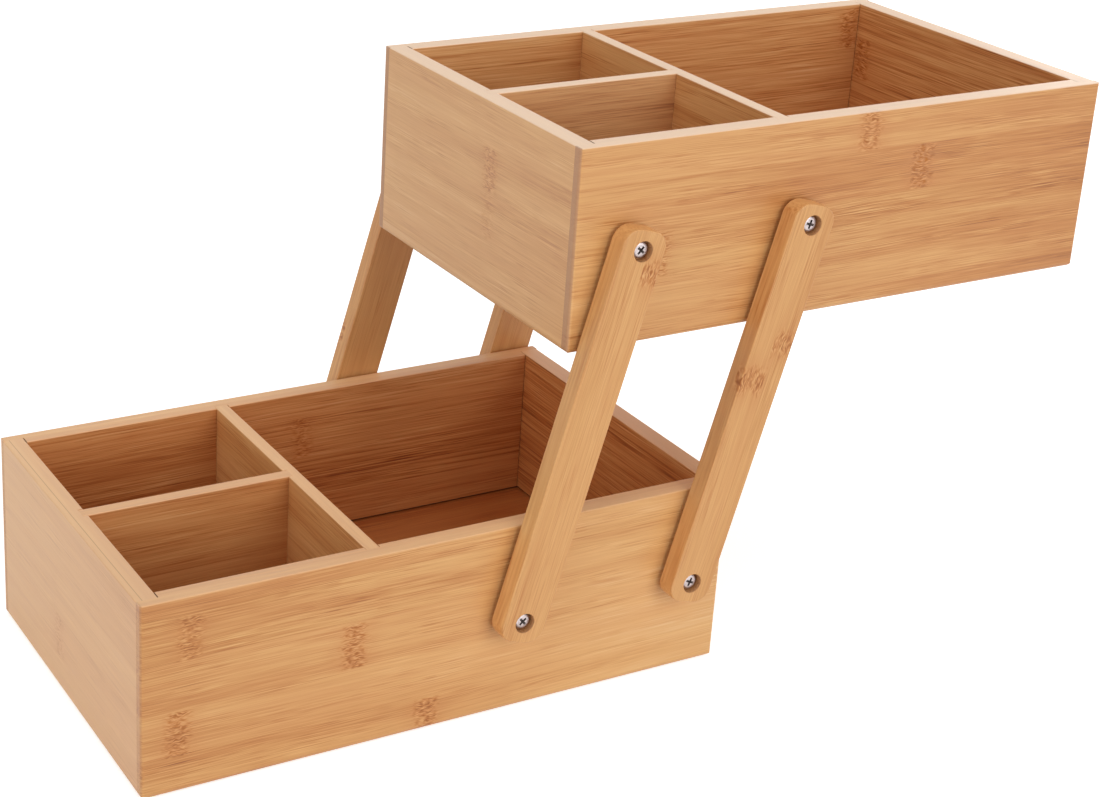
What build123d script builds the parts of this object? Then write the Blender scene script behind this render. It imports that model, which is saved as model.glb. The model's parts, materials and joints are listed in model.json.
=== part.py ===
from build123d import *
import math
import os

# Swing-out organizer: two equal open boxes, joined by four arms on pivot screws.
# Millimetres, +Z up, +X from the lower box towards the side the upper box swings to, front at -Y.

# Tier, the open box that is made twice
tier_length = 285.0
tier_width = 172.0
tier_height = 91.0
wall_thickness = 9.4
corner_lip = 4.6
corner_seam = 0.2
divider_thickness = 6.4
cross_divider_place = 104.0
wall_housing_depth = 2.5
cross_housing_depth = 2.0
housing_play = 0.1
floor_thickness = 5.0
floor_top = 15.5
floor_tongue = 3.0
floor_play = 0.3
floor_seam = 0.6

# Edges of the tier: outer bottom edges, outer upright corners, outer rim, and the other sanded edges
bottom_round = 3.0
corner_round = 1.5
rim_round = 0.8
sanded_round = 0.5

# Swing linkage: the lower pivots are set out from the tier's right end, the upper ones from its left end
lower_pivot_inset = 23.5
lower_pivot_height = 49.0
upper_pivot_inset = 27.0
upper_pivot_height = 46.7
pivot_spacing = 88.0
stacking_gap = 0.3
open_lean = 15.5

# Arms
arm_width = 22.0
arm_thickness = 9.4
arm_overhang = 9.2
arm_corner_round = 7.5
arm_edge_bevel = 0.6
counterbore_radius = 4.6
counterbore_depth = 4.5

# Pivot screws and the spacer washers that keep the arms off the walls
screw_radius = 1.75
screw_tip_cover = 2.4
head_radius = 3.75
head_height = 2.4
head_bevel = 0.9
running_clearance = 0.08
side_play = 0.1
pilot_spare = 0.5
washer_radius = 4.5
washer_thickness = 1.9

# Worked out from the sizes above
half_width = tier_width / 2
inner_half_width = half_width - wall_thickness
floor_underside = floor_top - floor_thickness
floor_groove_depth = floor_tongue + floor_play
floor_groove_height = floor_thickness + floor_seam
divider_height = tier_height - floor_top
arm_gap = washer_thickness + side_play
head_seat = arm_gap + arm_thickness - counterbore_depth + side_play
screw_length = head_seat + wall_thickness - screw_tip_cover
pilot_depth = screw_length - head_seat + pilot_spare
lower_pivot_place = tier_length - lower_pivot_inset - pivot_spacing
pivot_shift = lower_pivot_place - upper_pivot_inset
closed_rise = tier_height + stacking_gap + upper_pivot_height - lower_pivot_height
arm_reach = math.hypot(pivot_shift, closed_rise)
closed_lean = -math.degrees(math.atan2(pivot_shift, closed_rise))
upper_shift = pivot_shift + arm_reach * math.sin(math.radians(open_lean))
upper_lift = lower_pivot_height - upper_pivot_height + arm_reach * math.cos(math.radians(open_lean))
overall_length = upper_shift + tier_length

lower_pivots = [lower_pivot_place, lower_pivot_place + pivot_spacing]
upper_pivots = [upper_pivot_inset, upper_pivot_inset + pivot_spacing]
lower_place = Pos(-overall_length / 2, 0, 0)
upper_place = Pos(upper_shift - overall_length / 2, 0, upper_lift)

from_left_front_bottom = (Align.MIN, Align.MIN, Align.MIN)
from_middle_bottom = (Align.MIN, Align.CENTER, Align.MIN)


def round_corner(section, x, y, radius):
    """Rounds the corner of a flat section that lies nearest to a point."""
    corner = section.vertices().sort_by_distance((x, y, 0))[0]
    return fillet(corner, radius)


def wall_section():
    """Upright section of a wall, from its outer face at x = 0, with a groove that the floor lies in."""
    section = Pos(wall_thickness / 2, tier_height / 2) * Rectangle(wall_thickness, tier_height)
    section = round_corner(section, 0, 0, bottom_round)
    section = round_corner(section, 0, tier_height, rim_round)
    section = round_corner(section, wall_thickness, 0, sanded_round)
    section = round_corner(section, wall_thickness, tier_height, sanded_round)
    groove_x = wall_thickness - floor_groove_depth / 2
    groove_y = floor_underside + floor_groove_height / 2
    return section - Pos(groove_x, groove_y) * Rectangle(floor_groove_depth, floor_groove_height)


def front_view_block():
    """Block with the tier's outline from the front, deeper than the tier so that it trims cleanly."""
    outline = Rectangle(tier_length, tier_height)
    for side in (-1, 1):
        outline = round_corner(outline, side * tier_length / 2, -tier_height / 2, bottom_round)
        outline = round_corner(outline, side * tier_length / 2, tier_height / 2, rim_round)
    block = extrude(Plane.XZ * outline, amount=tier_width, both=True)
    return Pos(tier_length / 2, 0, tier_height / 2) * block


def top_view_block():
    """Block with the tier's outline from above, taller than the tier so that it trims cleanly."""
    outline = RectangleRounded(tier_length, tier_width, corner_round)
    return Pos(tier_length / 2, 0, 0) * extrude(outline, amount=2 * tier_height, both=True)


def cross_board(side_play):
    """Plain board of the cross divider, with its ends in both long walls, or its housing with some play."""
    thickness = divider_thickness + 2 * side_play
    length = 2 * (inner_half_width + wall_housing_depth)
    board = Box(thickness, length, divider_height, align=from_middle_bottom)
    return Pos(cross_divider_place - side_play, 0, floor_top) * board


def short_board(side_play):
    """Plain board from the left end wall into the cross divider, or its housing with some play."""
    start = wall_thickness - wall_housing_depth
    length = cross_divider_place + cross_housing_depth - start
    board = Box(length, divider_thickness + 2 * side_play, divider_height, align=from_middle_bottom)
    return Pos(start, 0, floor_top) * board


def front_panel(pivots, pivot_height):
    """Long wall at the front, with half-lapped ends, the divider's housing and two blind screw holes."""
    section_plane = Plane(origin=(0, -half_width, 0), x_dir=(0, 1, 0), z_dir=(1, 0, 0))
    panel = extrude(section_plane * wall_section(), amount=tier_length)
    panel = panel & front_view_block() & top_view_block()
    lap_length = wall_thickness + corner_seam
    lap = Box(lap_length, wall_thickness, tier_height, align=from_left_front_bottom)
    for lap_start in (0, tier_length - lap_length):
        panel -= Pos(lap_start, corner_lip - half_width, 0) * lap
    panel -= cross_board(housing_play)
    pilot = Cylinder(screw_radius, pilot_depth, align=(Align.CENTER, Align.CENTER, Align.MIN))
    for pivot in pivots:
        panel -= Plane(origin=(pivot, -half_width, pivot_height), z_dir=(0, 1, 0)) * pilot
    return panel


def right_end_panel():
    """Short wall at the right, between the laps of the two long walls."""
    length = 2 * (half_width - corner_lip)
    section_plane = Plane(origin=(tier_length, -length / 2, 0), x_dir=(-1, 0, 0), z_dir=(0, 1, 0))
    return extrude(section_plane * wall_section(), amount=length)


def left_end_panel():
    """Short wall at the left, the mirror of the right one, with the short divider's housing."""
    panel = mirror(right_end_panel(), about=Plane.YZ.offset(tier_length / 2))
    return panel - short_board(housing_play)


def floor_panel():
    """Floor, with its four edges held in the grooves of the walls."""
    inset = wall_thickness - floor_tongue
    length = tier_length - 2 * inset
    width = tier_width - 2 * inset
    board = Box(length, width, floor_thickness, align=from_middle_bottom)
    return Pos(inset, 0, floor_underside) * board


def sanded_top(board):
    """Rounds the two long top edges of a divider."""
    top = board.faces().sort_by(Axis.Z)[-1]
    long_edges = top.edges().sort_by(SortBy.LENGTH)[-2:]
    return fillet(long_edges, sanded_round)


def cross_divider():
    """Divider over the whole width, flush with the rim, with the short divider's housing."""
    return sanded_top(cross_board(0)) - short_board(housing_play)


def short_divider():
    """Divider from the left end wall to the cross divider, flush with the rim."""
    return sanded_top(short_board(0))


def arm():
    """Arm stood upright: lower pivot at the origin, inner face at y = 0 and outer face towards -Y."""
    outline = RectangleRounded(arm_width, arm_reach + 2 * arm_overhang, arm_corner_round)
    blank = extrude(Plane.XZ * Pos(0, arm_reach / 2) * outline, amount=arm_thickness)
    broad_faces = blank.faces().sort_by(Axis.Y)
    blank = chamfer(broad_faces[0].edges() + broad_faces[-1].edges(), arm_edge_bevel)
    bore = Cylinder(screw_radius + running_clearance, 3 * arm_thickness)
    counterbore = Cylinder(counterbore_radius, 2 * counterbore_depth)
    for height in (0, arm_reach):
        pivot = Pos(0, 0, height) * Rot(90, 0, 0)
        outer_pivot = Pos(0, -arm_thickness, height) * Rot(90, 0, 0)
        blank = blank - pivot * bore - outer_pivot * counterbore
    return blank


def pivot_screw():
    """Pan-head screw along +Y, its head's underside at the origin and its tip towards +Y."""
    shank = Cylinder(screw_radius, screw_length, align=(Align.CENTER, Align.CENTER, Align.MIN))
    head = Cylinder(head_radius, head_height, align=(Align.CENTER, Align.CENTER, Align.MAX))
    outer_edge = head.edges().filter_by(GeomType.CIRCLE).sort_by(Axis.Z)[0]
    head = chamfer(outer_edge, head_bevel)
    return Rot(-90, 0, 0) * (head + shank)


def spacer_washer():
    """Washer round a screw, from the wall's face at the origin towards -Y."""
    ring = Circle(washer_radius) - Circle(screw_radius + running_clearance)
    return extrude(Plane.XZ * ring, amount=washer_thickness)


def on_both_sides(piece, pivots, pivot_height, distance):
    """Copies a front piece to each pivot, at a distance out from the wall, and mirrors it to the back."""
    copies = []
    for pivot in pivots:
        front = Pos(pivot, -half_width - distance, pivot_height) * piece
        copies += [front, mirror(front, about=Plane.XZ)]
    return Compound(copies)


def tier_pieces(tier, pivots, pivot_height):
    """All that belongs to one tier, in the tier's own place."""
    front = front_panel(pivots, pivot_height)
    return {
        f"{tier}_front_panel": front,
        f"{tier}_back_panel": mirror(front, about=Plane.XZ),
        f"{tier}_left_end_panel": left_end_panel(),
        f"{tier}_right_end_panel": right_end_panel(),
        f"{tier}_floor_panel": floor_panel(),
        f"{tier}_cross_divider": cross_divider(),
        f"{tier}_short_divider": short_divider(),
        f"{tier}_pivot_screws": on_both_sides(pivot_screw(), pivots, pivot_height, head_seat),
        f"{tier}_spacer_washers": on_both_sides(spacer_washer(), pivots, pivot_height, 0),
    }


def arm_pieces():
    """The four arms, hung on the lower tier's pivots and leaning as they do when opened."""
    leaning = Rot(0, open_lean, 0) * arm()
    pieces = {}
    for name, pivot in zip(("left", "right"), lower_pivots):
        front = Pos(pivot, -half_width - arm_gap, lower_pivot_height) * leaning
        pieces[f"front_{name}_arm"] = front
        pieces[f"back_{name}_arm"] = mirror(front, about=Plane.XZ)
    return pieces


nodes = {}
for name, piece in tier_pieces("lower", lower_pivots, lower_pivot_height).items():
    nodes[name] = lower_place * piece
for name, piece in tier_pieces("upper", upper_pivots, upper_pivot_height).items():
    nodes[name] = upper_place * piece
for name, piece in arm_pieces().items():
    nodes[name] = lower_place * piece

os.makedirs("parts", exist_ok=True)
for name, piece in nodes.items():
    export_step(piece, f"parts/{name}.step")

print(f"overall length {overall_length:.3f}, upper tier shifted {upper_shift:.3f} and lifted {upper_lift:.3f}")
print(f"arm reach {arm_reach:.3f}, lean {open_lean:.2f} open and {closed_lean:.2f} closed")
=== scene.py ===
import json
import math

import bpy
from mathutils import Euler, Matrix, Vector


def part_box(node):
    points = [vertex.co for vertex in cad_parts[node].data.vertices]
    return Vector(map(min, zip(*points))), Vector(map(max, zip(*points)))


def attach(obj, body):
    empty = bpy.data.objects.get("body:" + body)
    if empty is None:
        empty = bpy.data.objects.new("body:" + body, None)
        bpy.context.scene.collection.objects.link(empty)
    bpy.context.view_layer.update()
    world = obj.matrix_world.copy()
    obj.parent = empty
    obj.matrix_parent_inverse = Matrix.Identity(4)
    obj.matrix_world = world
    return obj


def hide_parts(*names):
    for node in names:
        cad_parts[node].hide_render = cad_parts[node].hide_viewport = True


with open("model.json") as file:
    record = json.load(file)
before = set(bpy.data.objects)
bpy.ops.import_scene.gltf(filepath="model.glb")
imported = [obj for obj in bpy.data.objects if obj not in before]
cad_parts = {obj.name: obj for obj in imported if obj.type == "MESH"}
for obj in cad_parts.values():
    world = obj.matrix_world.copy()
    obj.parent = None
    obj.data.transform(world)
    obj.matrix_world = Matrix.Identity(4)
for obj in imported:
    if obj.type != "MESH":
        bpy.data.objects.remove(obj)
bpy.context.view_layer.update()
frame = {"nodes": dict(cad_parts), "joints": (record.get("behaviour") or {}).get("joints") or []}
nodes = frame["nodes"]

# Long walls: the front and back board of each tier, 285 mm long and 9.4 mm thick.
# Each is glued up from flat bamboo strips about 22 mm wide, sanded and clear-lacquered,
# and its half-lapped ends close over the short walls, so end grain shows on the end faces.

millimetres = 1000.0
lower_corner, lower_far_corner = (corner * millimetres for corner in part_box("lower_front_panel"))
upper_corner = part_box("upper_front_panel")[0] * millimetres
lower_left = lower_corner.x
upper_left = upper_corner.x
upper_lift = upper_corner.z
half_width = -lower_corner.y
tier_length = lower_far_corner.x - lower_corner.x
tier_height = lower_far_corner.z
wall_thickness = 9.4
strip_width = 21.6
floor_top = 15.5
groove_top = 16.1


def srgb(red, green, blue):
    """A colour as a picture names it, as the light it stands for."""
    return tuple(
        (part / 255 / 12.92) if part <= 10 else ((part / 255 + 0.055) / 1.055) ** 2.4
        for part in (red, green, blue)
    ) + (1.0,)


class Field:
    """A socket of a node tree that takes part in ordinary arithmetic."""

    def __init__(self, tree, socket=None):
        self.tree = tree
        self.socket = socket

    def node(self, kind, values=None, output=0, stops=None, **settings):
        """Adds any other node: its settings come first, then the values or links of its sockets."""
        made = self.tree.nodes.new(kind)
        for name, setting in settings.items():
            setattr(made, name, setting)
        if stops:
            ramp = made.color_ramp.elements
            ramp[0].position, ramp[0].color = stops[0]
            ramp[1].position, ramp[1].color = stops[-1]
            for place, colour in stops[1:-1]:
                ramp.new(place).color = colour
        for key, value in (values or {}).items():
            for each in value if isinstance(value, list) else [value]:
                if isinstance(each, Field):
                    self.tree.links.new(each.socket, made.inputs[key])
                else:
                    made.inputs[key].default_value = each
        return Field(self.tree, made.outputs[output] if made.outputs else None)

    def other(self, output):
        """Another output of the node that this one comes from."""
        return Field(self.tree, self.socket.node.outputs[output])

    def maths(self, operation, *values):
        """A Math node on these values, in the same tree."""
        return self.node("ShaderNodeMath", dict(enumerate(values)), operation=operation)

    def __add__(self, value):
        return self.maths("ADD", self, value)

    def __sub__(self, value):
        return self.maths("SUBTRACT", self, value)

    def __rsub__(self, value):
        return self.maths("SUBTRACT", value, self)

    def __mul__(self, value):
        return self.maths("MULTIPLY", self, value)

    def __truediv__(self, value):
        return self.maths("DIVIDE", self, value)

    def __floordiv__(self, value):
        return self.maths("FLOOR", self.maths("DIVIDE", self, value))

    def __mod__(self, value):
        return self.maths("FLOORED_MODULO", self, value)

    def __abs__(self):
        return self.maths("ABSOLUTE", self)

    __radd__ = __add__
    __rmul__ = __mul__

    def rise(self, low, high):
        """Nothing below low, one above high, and a smooth rise between them."""
        values = {"Value": self, "From Min": low, "From Max": high}
        return self.node("ShaderNodeMapRange", values, interpolation_type="SMOOTHSTEP")

    def blend(self, colour, factor, way="MIX"):
        """This colour, with another over it, or in another way, as far as the factor goes."""
        values = {0: factor, 6: self, 7: colour}
        return self.node("ShaderNodeMix", values, output=2, data_type="RGBA", blend_type=way)


bamboo_stops = (
    (0.0, srgb(124, 62, 24)),
    (0.3, srgb(188, 122, 63)),
    (0.5, srgb(214, 159, 98)),
    (0.7, srgb(229, 180, 118)),
    (1.0, srgb(246, 213, 162)),
)
rosy_colour = srgb(208, 144, 88)
painted_shade_tint = (0.76, 0.47, 0.30, 1.0)
knuckle_stain = (0.88, 0.66, 0.18, 1.0)
seam_shade_colour = srgb(52, 26, 12)
glue_colour = srgb(120, 68, 32)
sheen_veil_colour = srgb(236, 208, 178)
end_grain_colour = srgb(176, 130, 98)
bore_shade_colour = srgb(158, 110, 80)
middle_shade = 0.51
strip_waver = 5
strip_offset = 900
relief_depth = 0.0002


def empty_material(name):
    """A material with nothing in it yet, and the field that adds its nodes."""
    material = bpy.data.materials.new(name)
    material.use_nodes = True
    material.node_tree.nodes.clear()
    return material, Field(material.node_tree)


def bamboo(name, corner, turn, first_strip, seed, knuckles=(), tone=0.0, painted_light_drift=0.0, figure=1.0, **places):
    """Laminated bamboo. In the board's own millimetres x runs along the grain and z across the strips.

    A knuckle is given by its place along the grain, its height across it, its depth in the board and
    its strength, and a strip's tone by the middle of the strip and how much paler its two ends are.
    """
    material, tree = empty_material(name)
    turn = Euler([math.radians(angle) for angle in turn])
    board = tree.node(
        "ShaderNodeMapping",
        {
            "Vector": tree.node("ShaderNodeTexCoord", output="Object"),
            "Location": turn.to_matrix() @ -Vector(corner),
            "Rotation": turn,
            "Scale": (millimetres, millimetres, millimetres),
        },
    )
    along = tree.node("ShaderNodeSeparateXYZ", {0: board})
    through = along.other("Y")
    across = along.other("Z")

    def cloud(lengthwise, deep, crosswise, run, level, detail=1.0):
        """Soft noise about zero, with blots of these three sizes."""
        place = {0: run / lengthwise + seed, 1: through / deep, 2: level / crosswise}
        values = {0: tree.node("ShaderNodeCombineXYZ", place), "Scale": 1.0, "Detail": detail}
        return tree.node("ShaderNodeTexNoise", values) - 0.5

    # Strips: each has a tint of its own and its own stretch of grain, with a fine seam between two
    level = across + cloud(240, 90, 80, along, across) * strip_waver
    strip = (level - first_strip) // strip_width
    tint = tree.node("ShaderNodeTexWhiteNoise", {"W": strip + seed}, noise_dimensions="1D")
    in_strip = (level - first_strip) % strip_width
    seam = 1 - in_strip.maths("MINIMUM", in_strip, strip_width - in_strip).rise(0.1, 0.7)
    run = along + tint * strip_offset

    # Grain: broad bands, lines and hairs, and short dark dashes where the hairs crowd
    fibre = level + cloud(120, 25, 18, run, level) * 1.3
    broad = cloud(170, 30, 10, run, fibre)
    lines = cloud(100, 3, 1.2, run, fibre)
    hairs = cloud(28, 1.2, 0.42, run, fibre)
    crowd = cloud(60, 20, 8, run, level).rise(-0.15, 0.2)
    dashes = cloud(12, 1.4, 0.45, run, fibre, 0.0).rise(0.06, 0.22)
    shade = broad * 0.5 + lines * 0.3 + (tint - 0.5) * 0.14 - seam * 0.06
    shade = shade + hairs * (crowd * 0.7 + 0.4) - dashes * (crowd * 0.1 + 0.03)
    if "inner_face" in places:
        inside = abs(through).rise(4.0, 6.0)
        shade = shade + (lines * 0.5 + hairs * 0.3) * inside
    # The drift draws the board lighter towards one end and darker towards the other: a painted fall-off
    # of the light.
    shade = shade * figure + along * painted_light_drift + (middle_shade + tone)
    rosy = cloud(120, 20, 6, run, fibre).rise(-0.2, 0.25) * 0.22 + tint * 0.22

    half_strip = strip_width / 2
    for height, near_end, far_end in places.get("strip_tones", ()):
        on_strip = 1 - abs(level - height).rise(half_strip - 0.4, half_strip + 0.4)
        shade = shade + on_strip * (along * ((far_end - near_end) / tier_length) + near_end)

    # Knuckles: scaly scars right across a strip, in a rosy halo
    if knuckles:
        knuckle = halo = 0.0
        frayed = along + cloud(900, 30, 4, along, level) * 9 + cloud(6, 5, 1.2, along, level) * 5
        for place, height, depth, strength in knuckles:
            near = 1 - abs(frayed - place).rise(1.0, 8.0)
            around = 1 - abs(frayed - place).rise(3.0, 16.0)
            on_strip = 1 - abs(level - height).rise(half_strip - 1.6, half_strip + 0.3)
            facing = 1 - abs(through - depth).rise(3.4, 4.6)
            knuckle = knuckle + near * on_strip * facing * strength
            halo = halo + around * on_strip * facing * strength
        ripple = level + cloud(4, 5, 2.5, along, level) * 3
        scales = cloud(3.4, 5, 0.7, along, ripple)
        scars = (0.1 - scales).rise(0.0, 0.35) * knuckle
        shade = shade + scales * knuckle * 2.1
        shade = shade - knuckle * 0.08 - knuckle * knuckle * 0.08 - halo * 0.05
        rosy = rosy + knuckle * 0.1 + halo * 0.2

    # Colours: the raw bamboo, and what the faces, edges and holes of this board change in it: real end
    # grain, glue line and knuckle scars, painted shade inside, in seams and in bores, and a painted sheen
    # on pale faces and rims
    colour = tree.node("ShaderNodeValToRGB", {0: shade}, stops=bamboo_stops).blend(rosy_colour, rosy)
    if knuckles:
        colour = colour.blend(knuckle_stain, scars, "MULTIPLY")
    # Inner faces: a darker, redder tint, which is painted shade inside the tier.
    if "inner_face" in places:
        under_groove = 1 - across.rise(groove_top + 0.1, groove_top + 0.5)
        # A dark band on the inner faces where the floor meets the walls: painted shade in the floor
        # groove.
        groove_shade = inside * across.rise(floor_top - 0.4, floor_top - 0.1) * under_groove
        colour = colour.blend(painted_shade_tint, inside * places["inner_face"], "MULTIPLY")
        colour = colour.blend(seam_shade_colour, groove_shade * 0.95)
    # A pale veil over the whole board: a painted sheen of reflected light.
    if "sheen_veil" in places:
        colour = colour.blend(sheen_veil_colour, places["sheen_veil"])
    # A darker, redder tint over the whole board: painted shade.
    if "painted_shade" in places:
        colour = colour.blend(painted_shade_tint, places["painted_shade"], "MULTIPLY")
    # Rims are drawn paler: partly the paler edges of the strips, partly a painted sheen and highlight on
    # the top faces.
    if "rim" in places:
        rim_sheen_colour, cover = places["rim"]
        on_rim = across.rise(tier_height - 0.5, tier_height - 0.1)
        colour = colour.blend(rim_sheen_colour, on_rim * cover)
    if "glue_line" in places:
        line = 1 - abs(abs(through) - places["glue_line"]).rise(0.05, 0.3)
        colour = colour.blend(glue_colour, line * 0.4)
    if "length" in places:
        half = places["length"] / 2
        cut_end = abs(along - half).rise(half - 1.0, half - 0.3)
        colour = colour.blend(end_grain_colour, cut_end * places["end_grain"])
        # A thin dark line along the inner corners: painted shade where the walls meet.
        corner_shade = 1 - abs(abs(along - half) - (half - wall_thickness)).rise(0.15, 0.5)
        colour = colour.blend(seam_shade_colour, corner_shade * inside * 0.6)
    # A darker colour in each bore: the cut grain of the counterbore, and painted shade in it.
    for place, height, radius in places.get("bores", ()):
        spot = tree.node("ShaderNodeCombineXYZ", {0: along - place, 2: across - height})
        reach = tree.node("ShaderNodeVectorMath", {0: spot}, output="Value", operation="LENGTH")
        bored = 1 - reach.rise(radius - 0.1, radius + 0.2)
        colour = colour.blend(bore_shade_colour, bored * 0.6)
    relief = tree.node(
        "ShaderNodeBump", {"Strength": 0.2, "Distance": relief_depth, "Height": lines * 0.6 + hairs}
    )
    finish = {
        "Base Color": colour,
        "Roughness": hairs * 0.25 + 0.5,
        "Specular IOR Level": 0.4,
        "Coat Weight": 0.18,
        "Coat Roughness": 0.3,
        "Normal": relief,
    }
    tree.node("ShaderNodeOutputMaterial", {"Surface": tree.node("ShaderNodeBsdfPrincipled", finish)})
    return material


def dress(node, material):
    """Gives a board that stays as the frame has it a new finish."""
    for slot in nodes[node].material_slots:
        slot.material = material


level_board = (0, 0, 0)
# Inner faces get painted shade, deeper in the lower tier, which lies under the upper one.
inner_face_shade = {"lower": 0.6, "upper": 0.27}
# Rims are drawn paler: partly the paler edges of the strips, partly a painted sheen and highlight,
# stronger on the upper tier.
rims = {"lower": (srgb(245, 201, 154), 0.58), "upper": (srgb(250, 221, 192), 0.74)}
end_grains = {"lower": 0.3, "upper": 0.75}
# Each long wall: its corner, first strip, seed, how much paler its far end is (a painted fall-off of the
# light along the board), and its knuckles.
long_walls = {
    "lower_front_panel": (
        (lower_left, -half_width, 0), -2.9, 1.0, 0.3,
        ((21.7, 71.7, 0, 0.6), (96.5, 50.1, 0, 1.1), (15.8, 28.5, 0, 1.0), (133, 6.9, 0, 0.9)),
    ),
    "lower_back_panel": (
        (lower_left, half_width, 0), -9.0, 2.0, 0.05,
        ((52, 66.6, 0, 0.8), (198, 45, 0, 1.0), (247, 23.4, 0, 0.7), (150, 66.6, -9.4, 0.6)),
    ),
    "upper_front_panel": (
        (upper_left, -half_width, upper_lift), 8.3, 3.0, -0.36,
        ((150.5, 84, 0, 1.0), (182.5, 62.3, 0, 1.5), (43, 40.7, 0, 0.6)),
    ),
    "upper_back_panel": (
        (upper_left, half_width, upper_lift), 2.5, 4.0, -0.04,
        ((88, 35, 0, 0.9), (231, 56, 0, 0.8), (270, 78, -9.4, 0.8)),
    ),
}
strip_tones = {
    "lower_front_panel": (
        (7.9, 0.1, 0.03),
        (29.5, 0.035, 0.035),
        (51.1, -0.03, 0.05),
        (72.7, 0.12, 0.0),
    ),
    "upper_front_panel": (
        (-2.5, -0.2, -0.14),
        (19.1, -0.1, -0.05),
        (40.7, -0.04, 0.05),
        (62.3, -0.18, -0.07),
        (83.9, -0.18, 0.02),
    ),
}
for node, (corner, first_strip, seed, paler, knuckles) in long_walls.items():
    name = node.replace("_", " ") + " bamboo"
    tier = node.split("_")[0]
    looks = {
        "tone": -paler / 2,
        "painted_light_drift": paler / tier_length,
        "figure": 0.9,
        "length": tier_length,
        "rim": rims[tier],
        "inner_face": inner_face_shade[tier],
        "end_grain": end_grains[tier],
        "strip_tones": strip_tones.get(node, ()),
    }
    dress(node, bamboo(name, corner, level_board, first_strip, seed, knuckles, **looks))

# Short walls: the left and right board of each tier, from the same strips as the long walls.
# They stand between the laps of the long walls, glued, with their grain running front to back.

short_wall_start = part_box("lower_left_end_panel")[0].y * millimetres
crosswise_board = (0, 0, -90)
short_walls = {
    "lower_left_end_panel": (lower_left, 0, -6.0, 5.0, ((92, 26.4, 0, 0.5),)),
    "lower_right_end_panel": (
        lower_left + tier_length, 0, -1.0, 6.0, ((40, 31.4, 0, 0.7), (118, 74.6, 0, 0.8)),
    ),
    "upper_left_end_panel": (upper_left, upper_lift, 5.8, 7.0, ((66, 59.8, 0, 0.8), (66, 38.2, 0, 0.3))),
    "upper_right_end_panel": (
        upper_left + tier_length, upper_lift, 9.5, 8.0, ((152, 63.5, 9.4, 0.9), (100, 20.3, 0, 0.8)),
    ),
}
short_wall_looks = {
    # The left ends get a painted pale sheen, and are lighter towards one end: a painted fall-off of the
    # light.
    "lower_left_end_panel": {
        "glue_line": 2.7,
        "figure": 0.65,
        "sheen_veil": 0.2,
        "tone": -0.05,
        "painted_light_drift": 0.0007,
    },
    # The lower right end lies under the upper tier: it gets more painted inner shade and a stronger
    # painted sheen on its rim.
    "lower_right_end_panel": {"inner_face": 0.76, "figure": 1.2, "rim": (rims["lower"][0], 0.9)},
    "upper_left_end_panel": {"sheen_veil": 0.12, "painted_light_drift": 0.0006},
    "upper_right_end_panel": {"tone": -0.05},
}
for node, (left, lift, first_strip, seed, knuckles) in short_walls.items():
    name = node.replace("_", " ") + " bamboo"
    corner = (left, short_wall_start, lift)
    tier = node.split("_")[0]
    looks = {"rim": rims[tier], "inner_face": inner_face_shade[tier]} | short_wall_looks[node]
    dress(node, bamboo(name, corner, crosswise_board, first_strip, seed, knuckles, **looks))

# Floors: a thin bamboo board in each tier, its four edges held loose in grooves of the walls,
# with the grain along the tier. They are drawn a little darker and redder than the walls: painted shade.

flat_board = (90, 0, 0)
floor_look = {"tone": -0.08, "painted_shade": 0.8}
for tier, left, lift, seed in (("lower", lower_left, 0, 9.0), ("upper", upper_left, upper_lift, 10.0)):
    name = f"{tier} floor bamboo"
    corner = (left, -half_width, lift)
    dress(f"{tier}_floor_panel", bamboo(name, corner, flat_board, 4.0, seed, **floor_look))

# Dividers: 6.4 mm bamboo boards flush with the rim. The cross divider stands in housings of the
# long walls, and the short one between the left wall and the cross divider.

# The dividers get painted shade, a darker, redder tint that is stronger on the short ones; the upper
# short divider also gets a painted pale sheen.
divider_sheen_veil = {"lower": 0.0, "upper": 0.12}
for tier, left, lift, seed in (("lower", lower_left, 0, 11.0), ("upper", upper_left, upper_lift, 13.0)):
    name = f"{tier} cross divider bamboo"
    corner = (left, -half_width, lift)
    looks = {"painted_shade": 0.1, "rim": rims[tier]}
    dress(f"{tier}_cross_divider", bamboo(name, corner, crosswise_board, 7.0, seed, **looks))
    name = f"{tier} short divider bamboo"
    corner = (left, 0, lift)
    looks = {"painted_shade": inner_face_shade[tier] * 0.7, "rim": rims[tier], "sheen_veil": divider_sheen_veil[tier]}
    dress(f"{tier}_short_divider", bamboo(name, corner, level_board, 12.0, seed + 1, **looks))

# Swing arms: four bamboo bars, 22 by 9.4 mm and 190 mm long, with rounded ends and softened
# edges. Each end is counterbored for the head of a pivot screw and bored through for its shank.

joint_places = {joint["name"]: Vector(joint["pos_m"]) * millimetres for joint in frame["joints"]}
lower_pivots = [joint_places[f"front_{hand}_arm_swing"] for hand in ("left", "right")]
upper_pivot = joint_places["upper_tier_pivot"]
arm_line = upper_pivot - lower_pivots[0]
arm_reach = arm_line.length
arm_lean = math.atan2(arm_line.x, arm_line.z)
arm_outer_face, arm_inner_face = (abs(corner.y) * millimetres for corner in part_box("front_left_arm"))
counterbore_radius = 4.6
counterbore_facets = 56
bore_facets = 28
corner_points = 14
edge_points = 5
arm_sizes = {
    "Reach": arm_reach,
    "Width": 22.0,
    "Thickness": arm_outer_face - arm_inner_face,
    "Overhang": 9.2,
    "Corner Radius": 7.5,
    "Edge Radius": 0.6,
    "Counterbore Radius": counterbore_radius,
    "Counterbore Depth": 4.5,
    "Counterbore Bevel": 0.25,
    "Bore Radius": 1.83,
}


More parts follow.
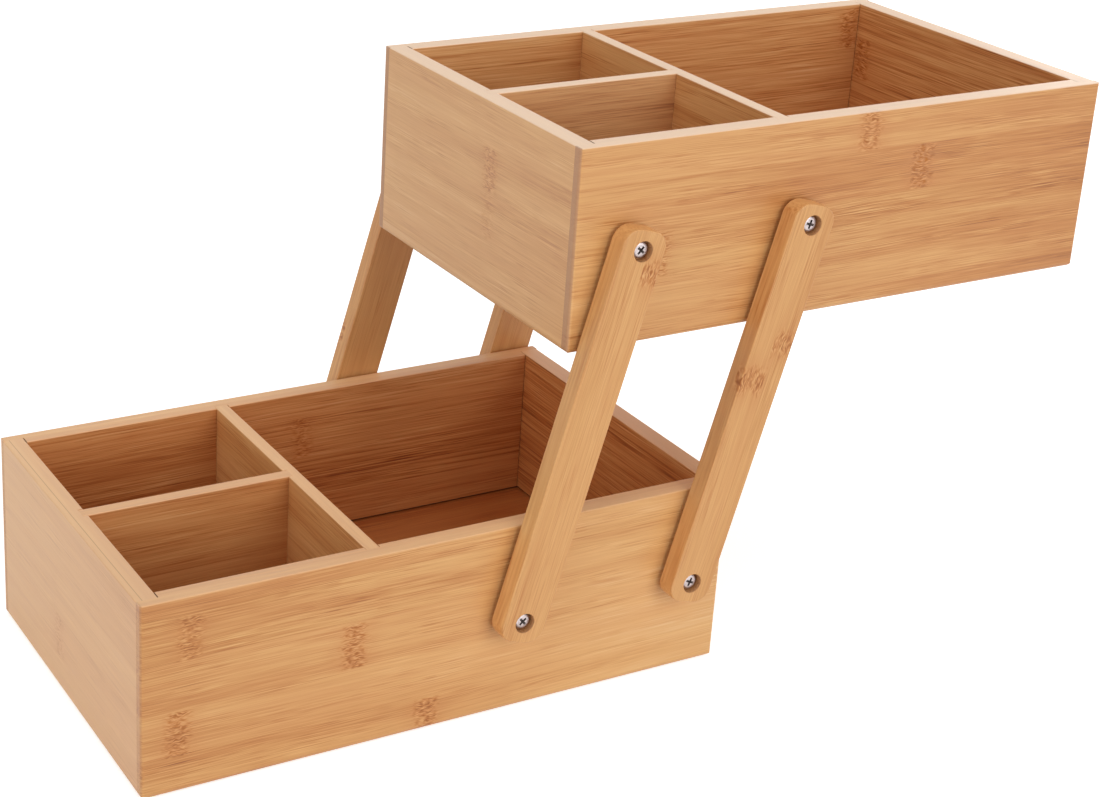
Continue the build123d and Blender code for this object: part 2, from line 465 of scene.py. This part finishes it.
def new_tree(name, sizes, vectors, materials):
    """An empty modifier tree with named inputs and one shape as its output."""
    group = bpy.data.node_groups.new(name, "GeometryNodeTree")
    group.is_modifier = True
    for socket, value in sizes.items():
        group.interface.new_socket(socket, socket_type="NodeSocketFloat").default_value = value
    for socket in vectors:
        group.interface.new_socket(socket, socket_type="NodeSocketVector")
    for socket in materials:
        group.interface.new_socket(socket, socket_type="NodeSocketMaterial")
    group.interface.new_socket("Shape", in_out="OUTPUT", socket_type="NodeSocketGeometry")
    return group


def made_by(group, name, settings, smooth_angle):
    """Runs a tree once, and keeps what it makes as a plain mesh."""
    maker = bpy.data.objects.new(name, bpy.data.meshes.new(name))
    bpy.context.scene.collection.objects.link(maker)
    modifier = maker.modifiers.new("maker", "NODES")
    modifier.node_group = group
    identifiers = {item.name: item.identifier for item in group.interface.items_tree}
    for socket, value in settings.items():
        modifier[identifiers[socket]] = value
    shape = bpy.data.meshes.new_from_object(maker.evaluated_get(bpy.context.evaluated_depsgraph_get()))
    maker.modifiers.remove(modifier)
    maker.data = shape
    shape.name = name
    shape.polygons.foreach_set("use_smooth", [True] * len(shape.polygons))
    shape.set_sharp_from_angle(angle=math.radians(smooth_angle))
    weigh = maker.modifiers.new("even shading", "WEIGHTED_NORMAL")
    weigh.keep_sharp = True
    return maker


def rounded_bar(tree, size, corner_points, edge_points):
    """A flat bar with round ends and softened edges, as the hull of rings of points."""
    ring_points = 4 * corner_points
    index = tree.node("GeometryNodeInputIndex")
    around = index % ring_points
    ring = index // ring_points
    corner = around // corner_points
    quarter = math.pi / 2
    angle = (corner + (around % corner_points) / (corner_points - 1)) * quarter
    middle = (corner + 0.5) * quarter
    rounding = (ring % edge_points) / (edge_points - 1) * quarter
    side = ring // edge_points
    inset = (1 - rounding.maths("SINE", rounding)) * size("Edge Radius")
    dip = (1 - rounding.maths("COSINE", rounding)) * size("Edge Radius")
    radius = size("Corner Radius") - inset
    half_reach = size("Reach") / 2
    right = middle.maths("SIGN", middle.maths("COSINE", middle))
    top = middle.maths("SIGN", middle.maths("SINE", middle))
    x = right * (size("Width") / 2 - size("Corner Radius")) + radius * angle.maths("COSINE", angle)
    z = top * (half_reach + size("Overhang") - size("Corner Radius"))
    z = z + half_reach + radius * angle.maths("SINE", angle)
    y = side * size("Thickness") + (1 - side * 2) * dip
    points = tree.node("GeometryNodeMeshLine", {"Count": ring_points * edge_points * 2})
    place = tree.node("ShaderNodeCombineXYZ", {0: x, 1: 0 - y, 2: z})
    points = tree.node("GeometryNodeSetPosition", {"Geometry": points, "Position": place})
    return tree.node("GeometryNodeConvexHull", {0: points})


arm_group = new_tree("arm", arm_sizes, ("Turn", "Pivot"), ("Bamboo",))
tree = Field(arm_group)
size = tree.node("NodeGroupInput").other
bar = rounded_bar(tree, size, corner_points, edge_points)
outward = (math.pi / 2, 0, 0)
spare = 2.0
mouth = size("Counterbore Depth") + spare
counterbore = tree.node(
    "GeometryNodeMeshCylinder",
    {"Vertices": counterbore_facets, "Radius": size("Counterbore Radius"), "Depth": mouth},
)
counterbore_place = tree.node("ShaderNodeCombineXYZ", {1: mouth / 2 - spare - size("Thickness")})
bevel_depth = size("Counterbore Bevel") + spare
bevel = tree.node(
    "GeometryNodeMeshCone",
    {
        "Vertices": counterbore_facets,
        "Radius Top": size("Counterbore Radius") + bevel_depth,
        "Radius Bottom": size("Counterbore Radius"),
        "Depth": bevel_depth,
    },
)
bevel_place = tree.node("ShaderNodeCombineXYZ", {1: size("Counterbore Bevel") - size("Thickness")})
bore_length = size("Thickness") * 3
bore = tree.node(
    "GeometryNodeMeshCylinder",
    {"Vertices": bore_facets, "Radius": size("Bore Radius"), "Depth": bore_length},
)
counterbore_values = {0: counterbore, "Translation": counterbore_place, "Rotation": outward}
cutters = [
    tree.node("GeometryNodeTransform", counterbore_values),
    tree.node("GeometryNodeTransform", {0: bevel, "Translation": bevel_place, "Rotation": outward}),
    tree.node("GeometryNodeTransform", {0: bore, "Rotation": outward}),
]
pivots = tree.node(
    "GeometryNodeMeshLine", {"Count": 2, "Offset": tree.node("ShaderNodeCombineXYZ", {2: size("Reach")})}
)
holes = tree.node(
    "GeometryNodeInstanceOnPoints",
    {"Points": pivots, "Instance": tree.node("GeometryNodeJoinGeometry", {0: cutters})},
)
holes = tree.node("GeometryNodeRealizeInstances", {0: holes})
drilled = tree.node(
    "GeometryNodeMeshBoolean",
    {"Mesh 1": bar, "Mesh 2": holes, "Self Intersection": True},
    operation="DIFFERENCE",
    solver="EXACT",
)
placed = tree.node(
    "GeometryNodeTransform", {0: drilled, "Rotation": size("Turn"), "Translation": size("Pivot")}
)
metre_scale = (1 / millimetres, 1 / millimetres, 1 / millimetres)
in_metres = tree.node("GeometryNodeTransform", {0: placed, "Scale": metre_scale})
whole = tree.node("GeometryNodeRealizeInstances", {0: in_metres})
finished = tree.node("GeometryNodeSetMaterial", {"Geometry": whole, "Material": size("Bamboo")})
tree.node("NodeGroupOutput", {0: finished})

arm_rows = (
    ("front_left_arm", 0, -1, 20.0, ((163, -12, -9.4, 0.9),)),
    ("front_right_arm", 1, -1, 21.0, ((99, 8.5, -9.4, 1.0), (117, -10.5, -9.4, 0.7))),
    ("back_left_arm", 0, 1, 22.0, ((60, 3, 9.4, 0.8),)),
    ("back_right_arm", 1, 1, 23.0, ((150, 3, 0, 0.9),)),
)
arm_look = {
    "tone": 0.01,
    "figure": 0.55,
    "bores": ((0, 0, counterbore_radius), (arm_reach, 0, counterbore_radius)),
}
for name, pivot, side, seed, knuckles in arm_rows:
    place = (lower_pivots[pivot].x, side * arm_inner_face, lower_pivots[pivot].z)
    turn = (0, arm_lean, 0) if side < 0 else (0, -arm_lean, math.pi)
    grain_turn = (0, 90 - math.degrees(arm_lean), 0)
    wood_name = name.replace("_", " ") + " bamboo"
    wood = bamboo(wood_name, place, grain_turn, -3.0, seed, knuckles, **arm_look)
    arm = made_by(arm_group, f"{name}_bar", {"Turn": turn, "Pivot": place, "Bamboo": wood}, 30)
    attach(arm, name)
    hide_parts(name)

# Pivot screws: four nickel-plated pan-head screws with cross recesses in each tier, sunk in the
# arms' counterbores. They run through the arm and the washer into blind holes in the long walls.

head_height = 2.4
screw_sizes = {
    "Head Radius": 3.75,
    "Head Height": head_height,
    "Recess Span": 4.2,
    "Recess Width": 1.1,
    "Recess Depth": 1.6,
    "Shank Radius": 1.75,
    "Shank Length": 14.0,
    "Spacing": (lower_pivots[1] - lower_pivots[0]).x,
    "Seat": -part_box("lower_pivot_screws")[0].y * millimetres - head_height,
    "Cross Turn": 0.0,
}
screw_group = new_tree("pivot screws", screw_sizes, ("First Pivot",), ("Steel", "Recess"))
tree = Field(screw_group)
size = tree.node("NodeGroupInput").other
head_around = 40
head_rings = 10
shank_facets = 24
index = tree.node("GeometryNodeInputIndex")
angle = (index % head_around) * (2 * math.pi / head_around)
climb = (index // head_around) * (math.pi / 2 / (head_rings - 1))
squareness = 0.45


def squared(field, operation):
    """A sine or cosine drawn towards one, so that a quarter round turns nearly into a corner."""
    return field.maths("POWER", field.maths("MAXIMUM", field.maths(operation, field), 0.0), squareness)


radius = squared(climb, "COSINE") * size("Head Radius")
head_place = tree.node(
    "ShaderNodeCombineXYZ",
    {
        0: radius * angle.maths("COSINE", angle),
        1: radius * angle.maths("SINE", angle),
        2: squared(climb, "SINE") * size("Head Height"),
    },
)
head = tree.node("GeometryNodeMeshLine", {"Count": head_around * head_rings})
head = tree.node("GeometryNodeSetPosition", {"Geometry": head, "Position": head_place})
head = tree.node("GeometryNodeConvexHull", {0: head})
overlap = 0.5
shank = tree.node(
    "GeometryNodeMeshCylinder",
    {"Vertices": shank_facets, "Radius": size("Shank Radius"), "Depth": size("Shank Length") + overlap},
)
shank_place = tree.node("ShaderNodeCombineXYZ", {2: (overlap - size("Shank Length")) / 2})
shank = tree.node("GeometryNodeTransform", {0: shank, "Translation": shank_place})
blank = tree.node("GeometryNodeMeshBoolean", {"Mesh 2": [head, shank]}, operation="UNION", solver="EXACT")

deep_span = 0.35
deep_width = 0.75
face_spare = 0.05
wing = tree.node("GeometryNodeMeshCube")
x = tree.node("ShaderNodeSeparateXYZ", {0: tree.node("GeometryNodeInputPosition")})
fullness = x.other("Z") + 0.5
wing_place = tree.node(
    "ShaderNodeCombineXYZ",
    {
        0: x * size("Recess Span") * (fullness * (1 - deep_span) + deep_span),
        1: x.other("Y") * size("Recess Width") * (fullness * (1 - deep_width) + deep_width),
        2: (fullness - 1) * size("Recess Depth") + size("Head Height") + face_spare,
    },
)
wing = tree.node("GeometryNodeSetPosition", {"Geometry": wing, "Position": wing_place})
cross = tree.node("GeometryNodeTransform", {0: wing, "Rotation": (0, 0, math.pi / 2)})
screw = tree.node(
    "GeometryNodeMeshBoolean",
    {"Mesh 1": blank, "Mesh 2": [wing, cross], "Self Intersection": True},
    operation="DIFFERENCE",
    solver="EXACT",
)
spot = tree.node("ShaderNodeSeparateXYZ", {0: tree.node("GeometryNodeInputPosition")})
height = spot.other("Z")
face_margin = 0.2
from_axis = spot.maths("SQRT", spot * spot + spot.other("Y") * spot.other("Y"))
sunk = from_axis.maths("LESS_THAN", from_axis, size("Recess Span") / 2)
sunk = sunk * height.maths("LESS_THAN", height, size("Head Height") - face_margin)
sunk = sunk * height.maths("GREATER_THAN", height, face_margin)
screw = tree.node(
    "GeometryNodeStoreNamedAttribute",
    {"Geometry": screw, "Name": "recess", "Value": sunk},
    data_type="BOOLEAN",
    domain="FACE",
)
index = tree.node("GeometryNodeInputIndex")
side = (index // 2) * 2 - 1
first = tree.node("ShaderNodeSeparateXYZ", {0: size("First Pivot")})
screw_place = tree.node(
    "ShaderNodeCombineXYZ",
    {0: first + (index % 2) * size("Spacing"), 1: side * size("Seat"), 2: first.other("Z")},
)
spots = tree.node("GeometryNodeMeshLine", {"Count": 4})
spots = tree.node("GeometryNodeSetPosition", {"Geometry": spots, "Position": screw_place})
turn_step = 1.15
screw_turn = tree.node(
    "ShaderNodeCombineXYZ", {0: side * (-math.pi / 2), 1: index * turn_step + size("Cross Turn")}
)
screws = tree.node(
    "GeometryNodeInstanceOnPoints", {"Points": spots, "Instance": screw, "Rotation": screw_turn}
)
screws = tree.node("GeometryNodeTransform", {0: screws, "Scale": metre_scale})
screws = tree.node("GeometryNodeRealizeInstances", {0: screws})
screws = tree.node("GeometryNodeSetMaterial", {"Geometry": screws, "Material": size("Steel")})
recessed = tree.node("GeometryNodeInputNamedAttribute", {"Name": "recess"}, data_type="BOOLEAN")
screws = tree.node(
    "GeometryNodeSetMaterial", {"Geometry": screws, "Selection": recessed, "Material": size("Recess")}
)
tree.node("NodeGroupOutput", {0: screws})


def mottled(name, grain, dark, light, roughness, metallic=0.0):
    """A plain material whose colour and polish vary a little in fine blots."""
    material, tree = empty_material(name)
    place = tree.node("ShaderNodeTexCoord", output="Object")
    blots = tree.node("ShaderNodeTexNoise", {0: place, "Scale": grain, "Detail": 3.0})
    colour = tree.node("ShaderNodeValToRGB", {0: blots}, stops=((0.3, dark), (0.7, light)))
    finish = {"Base Color": colour, "Metallic": metallic, "Roughness": blots * 0.3 + (roughness - 0.15)}
    tree.node("ShaderNodeOutputMaterial", {"Surface": tree.node("ShaderNodeBsdfPrincipled", finish)})
    return material


steel = mottled("nickel plated steel", 900.0, srgb(176, 166, 165), srgb(216, 206, 207), 0.45, 0.9)
# The cross recesses get a dark material of their own: painted shade, as the recess is the same plated
# steel.
recess = mottled("cross recess", 1500.0, srgb(66, 58, 56), srgb(112, 100, 96), 0.6, 0.3)
screw_rows = (
    ("lower", (lower_pivots[0].x, 0, lower_pivots[0].z), 0.85),
    ("upper", (upper_pivot.x, 0, upper_pivot.z), 0.73),
)
for tier, first_pivot, cross_turn in screw_rows:
    settings = {"First Pivot": first_pivot, "Cross Turn": cross_turn, "Steel": steel, "Recess": recess}
    screws = made_by(screw_group, f"{tier}_cross_head_screws", settings, 35)
    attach(screws, f"{tier}_tier")
    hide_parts(f"{tier}_pivot_screws")

# Spacer washers: eight natural nylon rings, 9 mm across and 1.9 mm thick, behind the arm ends.
# They keep the arms clear of the walls, so that the arms swing without rubbing.

nylon = mottled("natural nylon", 700.0, srgb(214, 208, 190), srgb(232, 228, 214), 0.47)
for tier in ("lower", "upper"):
    dress(f"{tier}_spacer_washers", nylon)

# Studio: a plain pale floor and a white surround, with large soft lights in front, at the left,
# at the right and above.

white = srgb(255, 255, 255)


def seen_directly(tree):
    """One for rays that come from the camera or off a mirror or through glass."""
    paths = tree.node("ShaderNodeLightPath", output="Is Camera Ray")
    mirrored = paths + paths.other("Is Glossy Ray") + paths.other("Is Transmission Ray")
    return mirrored.maths("MINIMUM", mirrored, 1.0)


floor_reach = 12.0
floor_glow = 0.6
floor_corners = [(x * floor_reach, y * floor_reach, 0) for x, y in ((-1, -1), (1, -1), (1, 1), (-1, 1))]
floor_mesh = bpy.data.meshes.new("studio_floor")
floor_mesh.from_pydata(floor_corners, [], [(0, 1, 2, 3)])
floor = bpy.data.objects.new("studio_floor", floor_mesh)
bpy.context.scene.collection.objects.link(floor)
paper, tree = empty_material("studio paper")
matt = tree.node("ShaderNodeBsdfDiffuse", {"Color": srgb(236, 236, 236)})
glow = tree.node("ShaderNodeEmission", {"Color": white, "Strength": seen_directly(tree) * floor_glow})
tree.node("ShaderNodeOutputMaterial", {"Surface": tree.node("ShaderNodeAddShader", {0: matt, 1: glow})})
floor_mesh.materials.append(paper)

world = bpy.data.worlds.new("studio surround")
bpy.context.scene.world = world
world.use_nodes = True
world.node_tree.nodes.clear()
tree = Field(world.node_tree)
fill_light = 0.36
strength = seen_directly(tree) * (1 - fill_light) + fill_light
surround = tree.node("ShaderNodeBackground", {"Color": white, "Strength": strength})
tree.node("ShaderNodeOutputWorld", {"Surface": surround})


def soft_light(name, place, size, power):
    """A square area light that points at the middle of the organizer."""
    lamp = bpy.data.lights.new(name, "AREA")
    lamp.shape = "SQUARE"
    lamp.size = size
    lamp.energy = power
    holder = bpy.data.objects.new(name, lamp)
    holder.location = place
    holder.rotation_euler = (middle - Vector(place)).to_track_quat("-Z", "Y").to_euler()
    bpy.context.scene.collection.objects.link(holder)


middle = Vector((0, 0, 0.12))
soft_light("front softbox", (0.5, -2.1, 0.95), 1.4, 20.5)
soft_light("left softbox", (-1.7, -0.4, 0.8), 1.5, 11)
soft_light("right softbox", (2.0, 0.6, 0.5), 1.8, 23)
soft_light("overhead softbox", (0, -0.2, 2.2), 1.5, 10)

bpy.context.scene.view_settings.view_transform = "Standard"

# Camera: a long lens in front, to the left and above the rims, turned a little clockwise.
# The lens is shifted, because the photograph's frame isn't centred on its axis.

camera_place = (-0.52215, -0.80127, 0.52431)
azimuth, elevation, roll = -28.902, 21.624, 2.420
focal_pixels = 2202.0
photo_width, photo_height = 1100, 797
centre_column, centre_row = 400.0, 310.1
turn, lift, tilt = (math.radians(angle) for angle in (azimuth, elevation, roll))
back = Vector((math.sin(turn) * math.cos(lift), -math.cos(turn) * math.cos(lift), math.sin(lift)))
right = (-back).cross(Vector((0, 0, 1))).normalized()
up = right.cross(-back)
camera_x = right * math.cos(tilt) + up * math.sin(tilt)
camera_y = up * math.cos(tilt) - right * math.sin(tilt)
camera_data = bpy.data.cameras.new("camera")
camera_data.sensor_fit = "HORIZONTAL"
camera_data.sensor_width = 36.0
camera_data.lens = focal_pixels / photo_width * camera_data.sensor_width
camera_data.shift_x = (photo_width / 2 - centre_column) / photo_width
camera_data.shift_y = (centre_row - photo_height / 2) / photo_width
camera_data.dof.use_dof = False
camera = bpy.data.objects.new("camera", camera_data)
facing = Matrix((camera_x, camera_y, back)).transposed().to_4x4()
camera.matrix_world = Matrix.Translation(camera_place) @ facing
bpy.context.scene.collection.objects.link(camera)
bpy.context.scene.camera = camera
